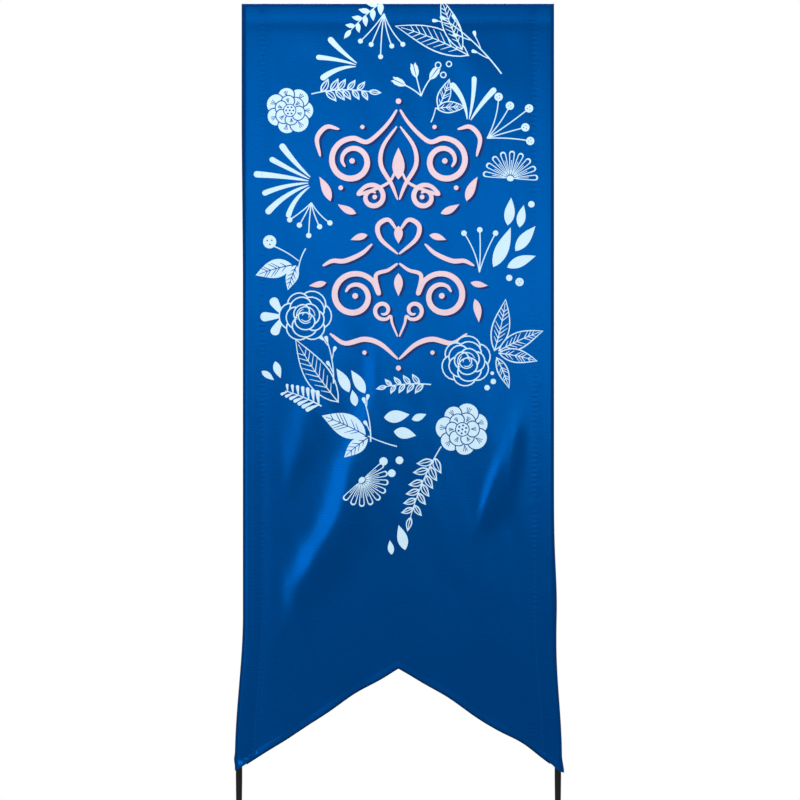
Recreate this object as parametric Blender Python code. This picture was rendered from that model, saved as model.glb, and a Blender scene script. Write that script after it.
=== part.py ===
"""Swallowtail banner on an inverted-U frame of two poles, standing on two ground stakes.

Metres, +Z up, the front of the banner faces -Y. The origin is at soil level, midway between the stakes.
The two sides mirror each other in the plane X = 0, so each side piece is made once per side by a loop.
"""
import math

import bmesh
import bpy
from mathutils import Matrix, Vector

# ---- driving dimensions ------------------------------------------------------------------------
BANNER_WIDTH = 0.6060           # across the top, outside to outside of the sleeve
BANNER_DROP = 1.4920            # top edge down to the two tail corners
NOTCH_HEIGHT = 0.2010           # from the tail corners up to the point of the notch
TAIL_HEIGHT = 0.3380            # soil up to the tail corners
FLARE = 0.0155                  # how far each pole eases outward between the joint and the stake
POLE_DIAMETER = 0.0127
POLE_WALL = 0.0010
SPIGOT_DEPTH = 0.0450           # how deep a joint spigot reaches into each tube
CORNER_DEPTH = 0.0350           # how deep a corner elbow reaches into each tube
CORNER_BEND = 0.0140            # bend radius of a corner elbow, on its centre line
SOCKET_LENGTH = 0.1100          # tapered part of the stake socket, below the pole
SOCKET_PLUG = 0.0300            # part of the stake socket inside the pole
SOCKET_WALL = 0.00105           # wall of the stake socket around its bore
SOCKET_DROP = 0.0130            # tail corners down to the shoulder of the stake socket
STAKE_GRIP = 0.1300             # length of stake rod inside its socket
SPIKE_DEPTH = 0.2000            # length of stake rod in the soil
SPIKE_POINT = 0.0280            # length of the forged point
COLLAR_HEIGHT = 0.0080
COLLAR_WALL = 0.0040
STEP_WIDTH = 0.0360             # step plate along X
STEP_LENGTH = 0.0600            # step plate along Y
STEP_THICKNESS = 0.0040
STEP_CORNER = 0.0100            # corner radius of the step plate
BOSS_HEIGHT = 0.0100
BOSS_WALL = 0.0045
CLOTH = 0.0008                  # one layer of the sleeve
PANEL_THICKNESS = 0.0016
SLEEVE_EASE = 0.0012            # room between a pole and the sleeve on its outer side
SLEEVE_FLAT = 0.0130             # how far the back of the sleeve runs before it slopes to the seam
SLEEVE_DEEP = 0.0300            # from the pole's centre line to the stitched end of the sleeve
SEAM_OPENING = 0.0012           # what is left of the hollow at the stitched end
HEM_WIDTH = 0.0100
HEM_THICKNESS = 0.0024
FIT = 0.0003                    # clearance between pieces that touch

# ---- sizes that follow -------------------------------------------------------------------------
POLE_R = POLE_DIAMETER / 2.0
BORE_R = POLE_R - POLE_WALL
SPIGOT_R = BORE_R - FIT
ROD_R = SPIGOT_R - SOCKET_WALL - FIT
SOCKET_BORE_R = ROD_R + FIT
SOCKET_NOSE_R = SOCKET_BORE_R + SOCKET_WALL
SLEEVE_R = POLE_R + SLEEVE_EASE
TOP_Z = TAIL_HEIGHT + BANNER_DROP
SLEEVE_Z = TOP_Z - SLEEVE_R - CLOTH      # centre line of the top sleeve's hollow
BAR_Z = TOP_Z - CLOTH - FIT - POLE_R     # the sleeve hangs on the bar
HALF_SPACING = BANNER_WIDTH / 2.0 - SLEEVE_R - CLOTH
POLE_TOP = BAR_Z - CORNER_BEND - FIT
POLE_BOTTOM = TAIL_HEIGHT - SOCKET_DROP
SECTION_LENGTH = (POLE_TOP - POLE_BOTTOM) / 3.0
UPPER_JOINT = POLE_TOP - SECTION_LENGTH
LOWER_JOINT = UPPER_JOINT - SECTION_LENGTH
BEND_TOP = 0.6400  # the lower pole starts to lean outwards here, well below its spigot
BEND_BOTTOM = POLE_BOTTOM + SOCKET_PLUG + POLE_R
TAIL_HALF = HALF_SPACING + FLARE + SLEEVE_R + CLOTH
NOTCH_SLOPE = NOTCH_HEIGHT / TAIL_HALF
NOTCH_Z = TAIL_HEIGHT + NOTCH_HEIGHT
HEM_RISE = HEM_WIDTH * math.sqrt(1.0 + NOTCH_SLOPE ** 2)
SEAM_OUT = SLEEVE_DEEP + CLOTH + FIT     # pole centre line to the edge of the panel
FRONT_Y = -SLEEVE_R - CLOTH              # the front of the banner, flush with the front of the sleeves

ROUND = 20                      # sides of a turned piece
SIDES = {"left": -1.0, "right": 1.0}


def clear_scene():
    """Start from an empty scene."""
    for thing in list(bpy.data.objects):
        bpy.data.objects.remove(thing, do_unlink=True)


def make_material(name, colour, roughness, metallic=0.0):
    """A plain Principled surface."""
    material = bpy.data.materials.new(name)
    material.use_nodes = True
    shader = material.node_tree.nodes["Principled BSDF"]
    shader.inputs["Base Color"].default_value = (*colour, 1.0)
    shader.inputs["Roughness"].default_value = roughness
    shader.inputs["Metallic"].default_value = metallic
    return material


def place(name, data, material, location=(0.0, 0.0, 0.0)):
    """Link a mesh or curve into the scene as a named object."""
    thing = bpy.data.objects.new(name, data)
    thing.location = location
    data.materials.append(material)
    bpy.context.scene.collection.objects.link(thing)
    return thing


def mesh_from(name, shape, smooth=True):
    """Turn a bmesh into a mesh whose faces point outward."""
    bmesh.ops.recalc_face_normals(shape, faces=shape.faces)
    mesh = bpy.data.meshes.new(name)
    shape.to_mesh(mesh)
    shape.free()
    if smooth:
        mesh.shade_smooth()
        mesh.set_sharp_from_angle(angle=math.radians(35.0))
    return mesh


def solidify(thing, thickness, offset):
    """Give a sheet or a tube skin its thickness."""
    modifier = thing.modifiers.new("thickness", "SOLIDIFY")
    modifier.thickness = thickness
    modifier.offset = offset
    modifier.use_rim = True
    return modifier


# ---- where things run --------------------------------------------------------------------------
def pole_x(z):
    """Half the pole spacing at height z: straight above, easing outward towards the stake."""
    t = (BEND_TOP - z) / (BEND_TOP - BEND_BOTTOM)
    t = min(max(t, 0.0), 1.0)
    return HALF_SPACING + FLARE * t * t * (3.0 - 2.0 * t)


def seam_x(z):
    """Half the width of the panel at height z, up to the stitched ends of the sleeves."""
    return pole_x(z) - SEAM_OUT


def cut_z(x):
    """Height of the swallowtail cut at x."""
    return NOTCH_Z - NOTCH_SLOPE * abs(x)


def panel_tail():
    """The lowest corner of the panel, just above the hem, as (x, z)."""
    z = TAIL_HEIGHT
    for _ in range(8):
        z = cut_z(seam_x(z)) + HEM_RISE + FIT
    return seam_x(z), z


def spread(low, high, steps):
    """Evenly spaced values from low to high."""
    return [low + (high - low) * i / steps for i in range(steps + 1)]


# ---- general shapes ----------------------------------------------------------------------------
def turned(name, profile, material, location):
    """A closed profile of (radius, height) points, turned about the vertical axis."""
    shape = bmesh.new()
    points = [shape.verts.new((radius, 0.0, height)) for radius, height in profile]
    edges = [shape.edges.new((points[i - 1], points[i])) for i in range(len(points))]
    bmesh.ops.spin(shape, geom=points + edges, axis=(0, 0, 1), cent=(0, 0, 0),
                   angle=math.tau, steps=ROUND, use_merge=True)
    bmesh.ops.remove_doubles(shape, verts=shape.verts, dist=1e-6)
    bmesh.ops.dissolve_degenerate(shape, edges=shape.edges, dist=1e-6)
    return place(name, mesh_from(name, shape), material, location)


def tube(name, route, material):
    """A hollow pole along a route of points."""
    curve = bpy.data.curves.new(name, "CURVE")
    curve.dimensions = "3D"
    curve.bevel_depth = POLE_R
    curve.bevel_resolution = 6
    line = curve.splines.new("POLY")
    line.points.add(len(route) - 1)
    for point, spot in zip(line.points, route):
        point.co = (*spot, 1.0)
    line.use_smooth = True
    pole = place(name, curve, material)
    solidify(pole, POLE_WALL, -1.0)
    return pole


def rod_piece(name, radius, low, high, x, material):
    """A plain solid cylinder, upright at x, with its origin at its lower end."""
    shape = bmesh.new()
    bmesh.ops.create_cone(shape, cap_ends=True, segments=ROUND, radius1=radius, radius2=radius,
                          depth=high - low, matrix=Matrix.Translation((0, 0, (high - low) / 2.0)))
    return place(name, mesh_from(name, shape), material, (x, 0.0, low))


# ---- the frame ---------------------------------------------------------------------------------
def build_poles(side, sign, steel, inner):
    """Three tubes per side, joined end to end by spigots inside them."""
    top = [(sign * HALF_SPACING, 0.0, POLE_TOP), (sign * HALF_SPACING, 0.0, UPPER_JOINT + FIT / 2)]
    tube(side + "_upper_pole", top, steel)
    middle = [(sign * HALF_SPACING, 0.0, UPPER_JOINT - FIT / 2),
              (sign * HALF_SPACING, 0.0, LOWER_JOINT + FIT / 2)]
    tube(side + "_middle_pole", middle, steel)
    heights = [LOWER_JOINT - FIT / 2] + spread(BEND_TOP, BEND_BOTTOM, 10) + [POLE_BOTTOM]
    tube(side + "_lower_pole", [(sign * pole_x(z), 0.0, z) for z in heights], steel)
    for level, joint in (("upper", UPPER_JOINT), ("lower", LOWER_JOINT)):
        rod_piece(side + "_" + level + "_spigot", SPIGOT_R, joint - SPIGOT_DEPTH, joint + SPIGOT_DEPTH,
                  sign * HALF_SPACING, inner)


def build_top_bar(steel):
    """The bar that joins the two corner elbows."""
    reach = HALF_SPACING - CORNER_BEND - FIT
    tube("top_bar", [(-reach, 0.0, BAR_Z), (reach, 0.0, BAR_Z)], steel)


def build_elbow(side, sign, plastic):
    """A corner elbow: a quarter bend, with a plug at each end that reaches into a tube."""
    shape = bmesh.new()
    ring = bmesh.ops.create_circle(shape, segments=ROUND, radius=POLE_R,
                                   matrix=Matrix.Translation((0.0, 0.0, -CORNER_BEND)))
    edges = list({edge for vert in ring["verts"] for edge in vert.link_edges})
    bmesh.ops.spin(shape, geom=ring["verts"] + edges, cent=(-sign * CORNER_BEND, 0.0, -CORNER_BEND),
                   axis=(0, 1, 0), angle=-sign * math.pi / 2, steps=6)
    rims = [edge for edge in shape.edges if edge.is_boundary]
    ends = bmesh.ops.holes_fill(shape, edges=rims, sides=ROUND)["faces"]
    bmesh.ops.recalc_face_normals(shape, faces=shape.faces)
    for end in ends:
        way = end.normal.copy()
        bmesh.ops.inset_region(shape, faces=[end], thickness=POLE_R - SPIGOT_R, use_even_offset=True)
        plug = bmesh.ops.extrude_discrete_faces(shape, faces=[end])["faces"][0]
        bmesh.ops.translate(shape, verts=plug.verts, vec=way * (CORNER_DEPTH + FIT))
    place(side + "_corner_elbow", mesh_from("elbow", shape), plastic, (sign * HALF_SPACING, 0.0, BAR_Z))


# ---- the stakes --------------------------------------------------------------------------------
def build_socket(side, x, plastic):
    """The tapered foot of a pole: a plug inside the pole, a shoulder, and a nose around the stake."""
    nose = POLE_BOTTOM - SOCKET_LENGTH
    shoulder = SOCKET_LENGTH - FIT
    plug_top = SOCKET_LENGTH + SOCKET_PLUG
    profile = [(SPIGOT_R, plug_top), (SPIGOT_R, shoulder), (POLE_R, shoulder),
               (SOCKET_NOSE_R, 0.0), (SOCKET_BORE_R, 0.0), (SOCKET_BORE_R, plug_top)]
    turned(side + "_stake_socket", profile, plastic, (x, 0.0, nose))


def build_stake(side, x, steel, plastic):
    """A pointed rod, with a collar that the pole stands on and a step plate that lies on the soil."""
    nose = POLE_BOTTOM - SOCKET_LENGTH
    rod = [(0.0, nose + STAKE_GRIP), (ROD_R, nose + STAKE_GRIP), (ROD_R, SPIKE_POINT - SPIKE_DEPTH),
           (0.0, -SPIKE_DEPTH)]
    turned(side + "_stake_rod", rod, steel, (x, 0.0, 0.0))
    inner = ROD_R + FIT
    outer = inner + COLLAR_WALL
    edge = COLLAR_WALL / 4.0
    collar = [(inner, COLLAR_HEIGHT), (outer - edge, COLLAR_HEIGHT), (outer, COLLAR_HEIGHT - edge),
              (outer, edge), (outer - edge, 0.0), (inner, 0.0)]
    turned(side + "_stop_collar", collar, steel, (x, 0.0, nose - FIT - COLLAR_HEIGHT))
    build_step_plate(side, x, inner, plastic)


def build_step_plate(side, x, bore, plastic):
    """A flat foot plate with rounded corners and a boss, bored for the stake rod."""
    shape = bmesh.new()
    size = Matrix.Diagonal((STEP_WIDTH, STEP_LENGTH, STEP_THICKNESS, 1.0))
    lift = Matrix.Translation((0.0, 0.0, STEP_THICKNESS / 2.0))
    bmesh.ops.create_cube(shape, size=1.0, matrix=lift @ size)
    upright = [edge for edge in shape.edges if abs(edge.verts[0].co.z - edge.verts[1].co.z) > FIT]
    bmesh.ops.bevel(shape, geom=upright, offset=STEP_CORNER, offset_type="OFFSET", segments=5,
                    profile=0.5, affect="EDGES", material=-1)
    plate = place(side + "_step_plate", mesh_from("step_plate", shape), plastic, (x, 0.0, 0.0))
    boss = rod_piece(side + "_boss_guide", bore + BOSS_WALL, STEP_THICKNESS / 2.0,
                     STEP_THICKNESS + BOSS_HEIGHT, x, plastic)
    drill = rod_piece(side + "_bore_guide", bore, -STEP_THICKNESS, STEP_THICKNESS + 2.0 * BOSS_HEIGHT,
                      x, plastic)
    for guide, operation in ((boss, "UNION"), (drill, "DIFFERENCE")):
        guide.hide_render = True
        guide.display_type = "WIRE"
        cut = plate.modifiers.new(operation.lower(), "BOOLEAN")
        cut.operation = operation
        cut.solver = "EXACT"
        cut.object = guide


# ---- the banner --------------------------------------------------------------------------------
def sleeve_section(skin):
    """One skin of the sleeve as (inward, depth) points: the front is flat, the back folds to the seam."""
    radius = SLEEVE_R + skin
    points = [(SLEEVE_FLAT, radius)]
    for step in range(9):
        angle = math.pi / 2 + math.pi * step / 8
        points.append((radius * math.cos(angle), radius * math.sin(angle)))
    points.append((SLEEVE_DEEP + skin, -radius))
    points.append((SLEEVE_DEEP + skin, -SLEEVE_R + SEAM_OPENING + skin))
    return points


def band(shape, first, second):
    """Close the band between two rings of points with quads."""
    for i in range(len(first)):
        shape.faces.new((first[i - 1], first[i], second[i], second[i - 1]))


def sleeve(name, stations, material):
    """A sewn pocket with an inner and an outer skin; a station maps (inward, depth) to a point."""
    shape = bmesh.new()
    skins = []
    for skin in (0.0, CLOTH):
        rings = [[shape.verts.new(station(inward, depth)) for inward, depth in sleeve_section(skin)]
                 for station in stations]
        for first, second in zip(rings, rings[1:]):
            band(shape, first, second)
        skins.append(rings)
    inner, outer = skins
    for end in (0, -1):
        band(shape, inner[end], outer[end])
    return place(name, mesh_from(name, shape), material)


def build_side_sleeve(side, sign, cloth):
    """The pocket along one pole, mitred at the top corner and cut with the tail at the bottom."""
    mitre = FIT / math.sqrt(2.0)

    def at_tail(inward, depth):
        x = pole_x(TAIL_HEIGHT) - inward
        return Vector((sign * x, depth, cut_z(x)))

    def at_corner(inward, depth):
        return Vector((sign * (HALF_SPACING - inward), depth, SLEEVE_Z - inward - mitre))

    def at_height(z):
        return lambda inward, depth: Vector((sign * (pole_x(z) - inward), depth, z))

    lowest = cut_z(pole_x(TAIL_HEIGHT) - SLEEVE_DEEP) + HEM_WIDTH
    heights = spread(lowest, BEND_TOP, 9) + [POLE_TOP - CORNER_DEPTH]
    sleeve(side + "_pole_sleeve", [at_tail] + [at_height(z) for z in heights] + [at_corner], cloth)


def build_top_sleeve(cloth):
    """The pocket along the top bar, mitred at both corners."""
    mitre = FIT / math.sqrt(2.0)

    def at_end(sign):
        return lambda inward, depth: Vector((sign * (HALF_SPACING - inward - mitre), depth,
                                             SLEEVE_Z - inward))

    sleeve("top_sleeve", [at_end(-1.0), at_end(1.0)], cloth)


def build_panel(cloth):
    """The printed sheet between the sleeves, with its swallowtail cut."""
    rows = 24
    shape = bmesh.new()
    bmesh.ops.create_grid(shape, x_segments=2, y_segments=rows, size=1.0)
    high = SLEEVE_Z - SEAM_OUT
    tail_x, _ = panel_tail()
    for vert in shape.verts:
        across = vert.co.x
        down = (1.0 - vert.co.y) / 2.0
        low = cut_z(tail_x * across) + HEM_RISE + FIT
        z = high + (low - high) * down
        vert.co = (across * seam_x(z), FRONT_Y, z)
    panel = place("banner_panel", mesh_from("banner_panel", shape, smooth=False), cloth)
    solidify(panel, PANEL_THICKNESS, -1.0)


def build_hem(side, sign, cloth):
    """The folded hem along one side of the notch."""
    shape = bmesh.new()
    near = FIT / 2.0
    far, _ = panel_tail()
    corners = [(near, cut_z(near)), (far, cut_z(far)), (far, cut_z(far) + HEM_RISE),
               (near, cut_z(near) + HEM_RISE)]
    face = shape.faces.new([shape.verts.new((sign * x, FRONT_Y, z)) for x, z in corners])
    grown = bmesh.ops.extrude_face_region(shape, geom=[face])["geom"]
    moved = [item for item in grown if isinstance(item, bmesh.types.BMVert)]
    bmesh.ops.translate(shape, verts=moved, vec=(0.0, HEM_THICKNESS, 0.0))
    place(side + "_notch_hem", mesh_from("hem", shape, smooth=False), cloth)


def main():
    """Build the whole banner."""
    clear_scene()
    steel = make_material("black_coated_steel", (0.006, 0.006, 0.007), 0.45)
    spigots = make_material("aluminium_spigot", (0.55, 0.56, 0.58), 0.35, 1.0)
    plastic = make_material("black_plastic", (0.010, 0.010, 0.011), 0.55)
    cloth = make_material("blue_satin", (0.004, 0.085, 0.360), 0.35)
    for side, sign in SIDES.items():
        foot = sign * (HALF_SPACING + FLARE)
        build_poles(side, sign, steel, spigots)
        build_elbow(side, sign, plastic)
        build_socket(side, foot, plastic)
        build_stake(side, foot, steel, plastic)
        build_side_sleeve(side, sign, cloth)
        build_hem(side, sign, cloth)
    build_top_bar(steel)
    build_top_sleeve(cloth)
    build_panel(cloth)


main()
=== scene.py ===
"""Garden banner: one printed satin sheet with two tails, its edges sewn into pockets round a
sectional steel frame that stands on two ground stakes. Lengths are in metres, and those of the
print in millimetres."""
import cmath
import math

import bmesh
import bpy
from mathutils import Matrix, Vector, geometry, noise


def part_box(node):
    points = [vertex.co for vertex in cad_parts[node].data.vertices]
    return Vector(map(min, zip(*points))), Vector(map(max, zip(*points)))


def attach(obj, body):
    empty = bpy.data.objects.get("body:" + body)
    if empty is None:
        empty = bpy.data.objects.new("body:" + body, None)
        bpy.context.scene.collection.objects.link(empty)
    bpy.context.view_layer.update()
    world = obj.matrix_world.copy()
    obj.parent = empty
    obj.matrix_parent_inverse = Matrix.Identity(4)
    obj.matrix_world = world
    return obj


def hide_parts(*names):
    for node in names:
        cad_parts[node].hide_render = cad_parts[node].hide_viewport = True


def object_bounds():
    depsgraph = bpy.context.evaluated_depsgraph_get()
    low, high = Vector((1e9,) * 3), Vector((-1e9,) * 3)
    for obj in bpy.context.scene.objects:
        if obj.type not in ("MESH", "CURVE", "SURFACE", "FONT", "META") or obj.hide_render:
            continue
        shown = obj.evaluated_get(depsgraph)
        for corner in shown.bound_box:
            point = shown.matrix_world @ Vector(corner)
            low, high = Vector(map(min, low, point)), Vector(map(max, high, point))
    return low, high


bl_info = {
    "name": "Garden Banner",
    "version": (1, 0, 0),
    "blender": (4, 5, 0),
    "location": "3D View > Sidebar > Banner",
    "description": "Sews and prints a satin banner on its steel frame, and lights it",
    "category": "Add Mesh",
}

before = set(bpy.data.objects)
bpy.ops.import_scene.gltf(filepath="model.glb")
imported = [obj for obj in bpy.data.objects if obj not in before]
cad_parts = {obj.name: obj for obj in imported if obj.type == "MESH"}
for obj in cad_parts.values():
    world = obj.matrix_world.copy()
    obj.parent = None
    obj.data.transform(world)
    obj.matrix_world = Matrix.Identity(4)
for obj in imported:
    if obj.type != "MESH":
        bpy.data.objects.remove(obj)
CAD_LOW, CAD_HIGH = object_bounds()

# ---- sizes taken from the frame
SLEEVE_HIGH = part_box("top_sleeve")[1]
POLE_LOW, POLE_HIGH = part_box("right_upper_pole")
ROD_LOW, ROD_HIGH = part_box("right_stake_rod")
TOP_Z = SLEEVE_HIGH.z
HALF_SPACING = (POLE_LOW.x + POLE_HIGH.x) / 2
RADIUS = SLEEVE_HIGH.x - HALF_SPACING            # outside of the cloth round a pole
SLEEVE_Z = TOP_Z - RADIUS
FLARE = (ROD_LOW.x + ROD_HIGH.x) / 2 - HALF_SPACING
BEND_TOP, BEND_BOTTOM = 0.6400, 0.36135          # the lower poles lean outwards between these
NOTCH_Z, NOTCH_SLOPE = 0.5390, 0.6311            # top of the notch, and its fall per metre
POCKET = 0.030                                   # pole centre line to the seam
POCKET_FLAT = 0.013                              # how far the back of a pocket runs straight
HEM = 0.010                                      # width of the folded hem
SHEET = 0.0005                                   # thickness of the satin as drawn
NONE, WHITE, PINK, SHADE = range(4)              # inks, in the order of the cloth's materials
REVERSE = {NONE: 0, WHITE: 4, PINK: 5, SHADE: 3}  # how each ink shows on the back
MM = 0.001                                       # the print's unit in metres
NOTCH_RUN = math.sqrt(1 + NOTCH_SLOPE ** 2)      # length of the cut for each metre across
TIP_Z = 0.34                                     # about where the tails end
QUARTER = RADIUS * math.pi / 2                   # cloth that a quarter turn round a pole takes


def smooth(t):
    t = min(max(t, 0.0), 1.0)
    return t * t * (3.0 - 2.0 * t)


def pole_x(z):
    """Distance of a pole's centre line from the middle, at height z."""
    return HALF_SPACING + FLARE * smooth((BEND_TOP - z) / (BEND_TOP - BEND_BOTTOM))


TAIL_X = pole_x(TIP_Z + 0.01)  # a pole's centre line just above the tips


# ---- settings and materials
def linear(code):
    """An sRGB hex value as linear red, green, blue."""
    values = [int(code[i:i + 2], 16) / 255 for i in (1, 3, 5)]
    return tuple(v / 12.92 if v <= 0.04045 else ((v + 0.055) / 1.055) ** 2.4 for v in values)


def colour(name, code, description):
    return bpy.props.FloatVectorProperty(name=name, description=description, subtype="COLOR",
                                         size=3, min=0.0, max=1.0, default=linear(code))


def length(name, value, description):
    return bpy.props.FloatProperty(name=name, description=description, default=value,
                                   min=0.0, unit="LENGTH", subtype="DISTANCE")


class BannerSettings(bpy.types.PropertyGroup):
    """Sizes and colours of the cloth."""
    dye: colour("Dye", "#00458B", "Blue of the dyed satin")
    white_ink: colour("White ink", "#C3DDEF", "Ink of the wreath")
    pink_ink: colour("Pink ink", "#DEC2CD", "Ink of the middle ornament")
    shade_ink: colour("Shadow ink", "#0A2A66", "Ink behind the middle ornament")
    stitch: length("Stitch", 0.0034, "Distance from one stitch to the next")
    fold: bpy.props.FloatProperty(name="Folds", description="Depth of the soft folds, 1 as hung",
                                  default=1.0, min=0.0, max=3.0)


class FrameSettings(bpy.types.PropertyGroup):
    """Finishes of the poles and stakes."""
    coat: colour("Powder coat", "#0B0B0C", "Black coating of the poles")
    plastic: colour("Plastic", "#0A0A0B", "Moulded sockets and corners")
    alloy: colour("Spigot", "#B9BABD", "Drawn aluminium joiners")


class StageSettings(bpy.types.PropertyGroup):
    """Camera and lights."""
    distance: length("Camera distance", 3.2, "From the camera to the cloth")
    lens: bpy.props.FloatProperty(name="Lens", description="Focal length in millimetres",
                                  default=74.2, min=10.0, max=300.0)
    pitch: bpy.props.FloatProperty(name="Pitch", description="How far the camera looks down",
                                   default=0.0, subtype="ANGLE")
    floor_tint: colour("Floor", "#EDEDED", "Colour of the plain floor")


def add_node(tree, kind, inputs=None, output=0, **settings):
    """Adds one node, gives it its settings, links or sets its inputs, and returns one output."""
    node = tree.nodes.new(kind)
    for key, value in settings.items():
        setattr(node, key, value)
    for key, value in (inputs or {}).items():
        if isinstance(value, bpy.types.NodeSocket):
            tree.links.new(value, node.inputs[key])
        else:
            node.inputs[key].default_value = value
    return node.outputs[output] if len(node.outputs) else None


def start_material(name, constants):
    """A material, its node tree and its shader, on which the constant values are set."""
    material = bpy.data.materials.new(name)
    material.use_nodes = True
    tree = material.node_tree
    shader = tree.nodes["Principled BSDF"]
    for key, value in constants.items():
        shader.inputs[key].default_value = value
    return material, tree, shader


def finish(tree, shader, tone, dark, light, gloss, rough, relief=None):
    """Ends a material: tone mixes its two colours, gloss becomes a roughness, relief is its bump.
    rough is the roughness at the low and the high end of gloss, then those two ends."""
    low, high, start, end = rough
    made = {"Base Color": add_node(
        tree, "ShaderNodeMix", {"Factor": tone, "A": (*dark, 1), "B": (*light, 1)}, "Result",
        data_type="RGBA")}
    made["Roughness"] = add_node(tree, "ShaderNodeMapRange", {
        "Value": gloss, "From Min": start, "From Max": end, "To Min": low, "To Max": high})
    if relief:
        height, strength, distance = relief
        made["Normal"] = add_node(tree, "ShaderNodeBump", {
            "Height": height, "Strength": strength, "Distance": distance})
    for key, socket in made.items():
        tree.links.new(socket, shader.inputs[key])


def times(rgb, factor):
    return tuple(min(1.0, c * factor) for c in rgb)


# Polyester satin, woven with long floats: the dyed threads mirror light in their own colour, so
# the highlight is blue. Its slubs are drawn 0.9 mm wide and 25 mm long, coarser than the thread.
def satin(name, dye):
    material, tree, shader = start_material(name, {"Metallic": 0.62, "Specular IOR Level": 0.0})
    flat = add_node(tree, "ShaderNodeUVMap", uv_map="flat")
    drawn = add_node(tree, "ShaderNodeMapping", {"Vector": flat, "Scale": (40, 1100, 1)})
    slubs = add_node(tree, "ShaderNodeTexNoise", {"Vector": drawn, "Scale": 1.0, "Detail": 3.0})
    ribs = add_node(tree, "ShaderNodeTexWave", {
        "Vector": flat, "Scale": 190.0, "Distortion": 1.2, "Detail": 2.0, "Detail Scale": 2.0},
        "Fac", wave_type="BANDS", bands_direction="DIAGONAL")
    clouds = add_node(tree, "ShaderNodeTexNoise", {"Vector": flat, "Scale": 9.0, "Detail": 2.0})
    mixed = add_node(tree, "ShaderNodeMix", {"Factor": 0.85, "A": slubs, "B": clouds}, "Result",
                     data_type="FLOAT")
    tone = add_node(tree, "ShaderNodeMapRange", {"Value": mixed, "From Min": 0.3, "From Max": 0.7})
    both = add_node(tree, "ShaderNodeMath", {0: ribs, 1: slubs}, operation="ADD")
    finish(tree, shader, tone, times(dye, 0.97), times(dye, 1.03), slubs, (0.27, 0.285, 0.3, 0.7),
           (both, 0.018, 0.00002))
    return material


# Screen-printed pigment ink: a matt film that sits on the floats, a little thin where the threads
# stand up, drawn as specks of 1.3 mm. It keeps almost the same brightness all over the cloth.
def ink(name, rgb, dye, cover=0.93):
    _, tree, shader = start_material(name, {"Specular IOR Level": 0.25})
    flat = add_node(tree, "ShaderNodeUVMap", uv_map="flat")
    fine = add_node(tree, "ShaderNodeMapping", {"Vector": flat, "Scale": (760, 760, 1)})
    specks = add_node(tree, "ShaderNodeTexNoise", {"Vector": fine, "Scale": 1.0, "Detail": 2.0})
    patches = add_node(tree, "ShaderNodeTexNoise", {"Vector": flat, "Scale": 45.0, "Detail": 3.0})
    both = add_node(tree, "ShaderNodeMath", {0: specks, 1: patches}, operation="MULTIPLY")
    tone = add_node(tree, "ShaderNodeMapRange", {"Value": both, "From Min": 0.12, "From Max": 0.32})
    thin = tuple(cover * c + (1 - cover) * d for c, d in zip(rgb, dye))
    finish(tree, shader, tone, thin, rgb, specks, (0.62, 0.76, 0.0, 1.0), (specks, 0.2, 0.00005))


# Twisted polyester sewing thread: the ply shows as fine slanted bands, 0.6 mm apart.
def thread(name, rgb):
    _, tree, shader = start_material(name, {
        "Sheen Weight": 0.2, "Sheen Roughness": 0.4, "Sheen Tint": (*times(rgb, 2.0), 1.0)})
    where = add_node(tree, "ShaderNodeTexCoord", output="Object")
    plies = add_node(tree, "ShaderNodeTexWave", {
        "Vector": where, "Scale": 520.0, "Distortion": 0.5},
        "Fac", wave_type="BANDS", bands_direction="DIAGONAL")
    finish(tree, shader, plies, times(rgb, 0.6), times(rgb, 1.5), plies, (0.45, 0.6, 0.0, 1.0))


# Black polyester powder coat baked on steel tube: an even satin film with a fine orange peel of
# 1.6 mm, and dull rubbed streaks along the tube where the sections and the soil have touched it.
def powder_coat(name, rgb, bare_below=None):
    material, tree, shader = start_material(name, {"Specular IOR Level": 0.22})
    where = add_node(tree, "ShaderNodeTexCoord", output="Object")
    peel = add_node(tree, "ShaderNodeTexNoise", {"Vector": where, "Scale": 620.0, "Detail": 2.0})
    along = add_node(tree, "ShaderNodeMapping", {"Vector": where, "Scale": (260, 260, 9)})
    rubbed = add_node(tree, "ShaderNodeTexNoise", {"Vector": along, "Scale": 1.0, "Detail": 5.0})
    worn = add_node(tree, "ShaderNodeMapRange", {
        "Value": rubbed, "From Min": 0.62, "From Max": 0.74})
    shine = times(rgb, 2.0)
    if bare_below is not None:  # the point of a stake loses its coat to the soil
        height = add_node(tree, "ShaderNodeSeparateXYZ", {"Vector": where}, "Z")
        low = add_node(tree, "ShaderNodeMapRange", {
            "Value": height, "From Min": bare_below, "From Max": bare_below + 0.09,
            "To Min": 1.0, "To Max": 0.0})
        patch = add_node(tree, "ShaderNodeMath", {0: low, 1: rubbed}, operation="MULTIPLY")
        bare = add_node(tree, "ShaderNodeMapRange", {
            "Value": patch, "From Min": 0.36, "From Max": 0.46})
        worn = add_node(tree, "ShaderNodeMath", {0: worn, 1: bare}, operation="MAXIMUM")
        shine = linear("#5A5B5E")
    finish(tree, shader, worn, rgb, shine, rubbed, (0.40, 0.56, 0.3, 0.7), (peel, 0.25, 0.0001))
    return material


# Injection-moulded ABS with a fine spark-eroded grain of 0.8 mm, and a faint haze that varies its
# tone and dullness.
def moulded_plastic(name, rgb):
    material, tree, shader = start_material(name, {"Specular IOR Level": 0.25})
    where = add_node(tree, "ShaderNodeTexCoord", output="Object")
    grain = add_node(tree, "ShaderNodeTexVoronoi", {"Vector": where, "Scale": 1250.0}, "Distance")
    haze = add_node(tree, "ShaderNodeTexNoise", {"Vector": where, "Scale": 70.0, "Detail": 4.0})
    finish(tree, shader, haze, times(rgb, 0.75), times(rgb, 1.5), haze, (0.50, 0.66, 0.3, 0.7),
           (grain, 0.35, 0.0001))
    return material


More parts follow.
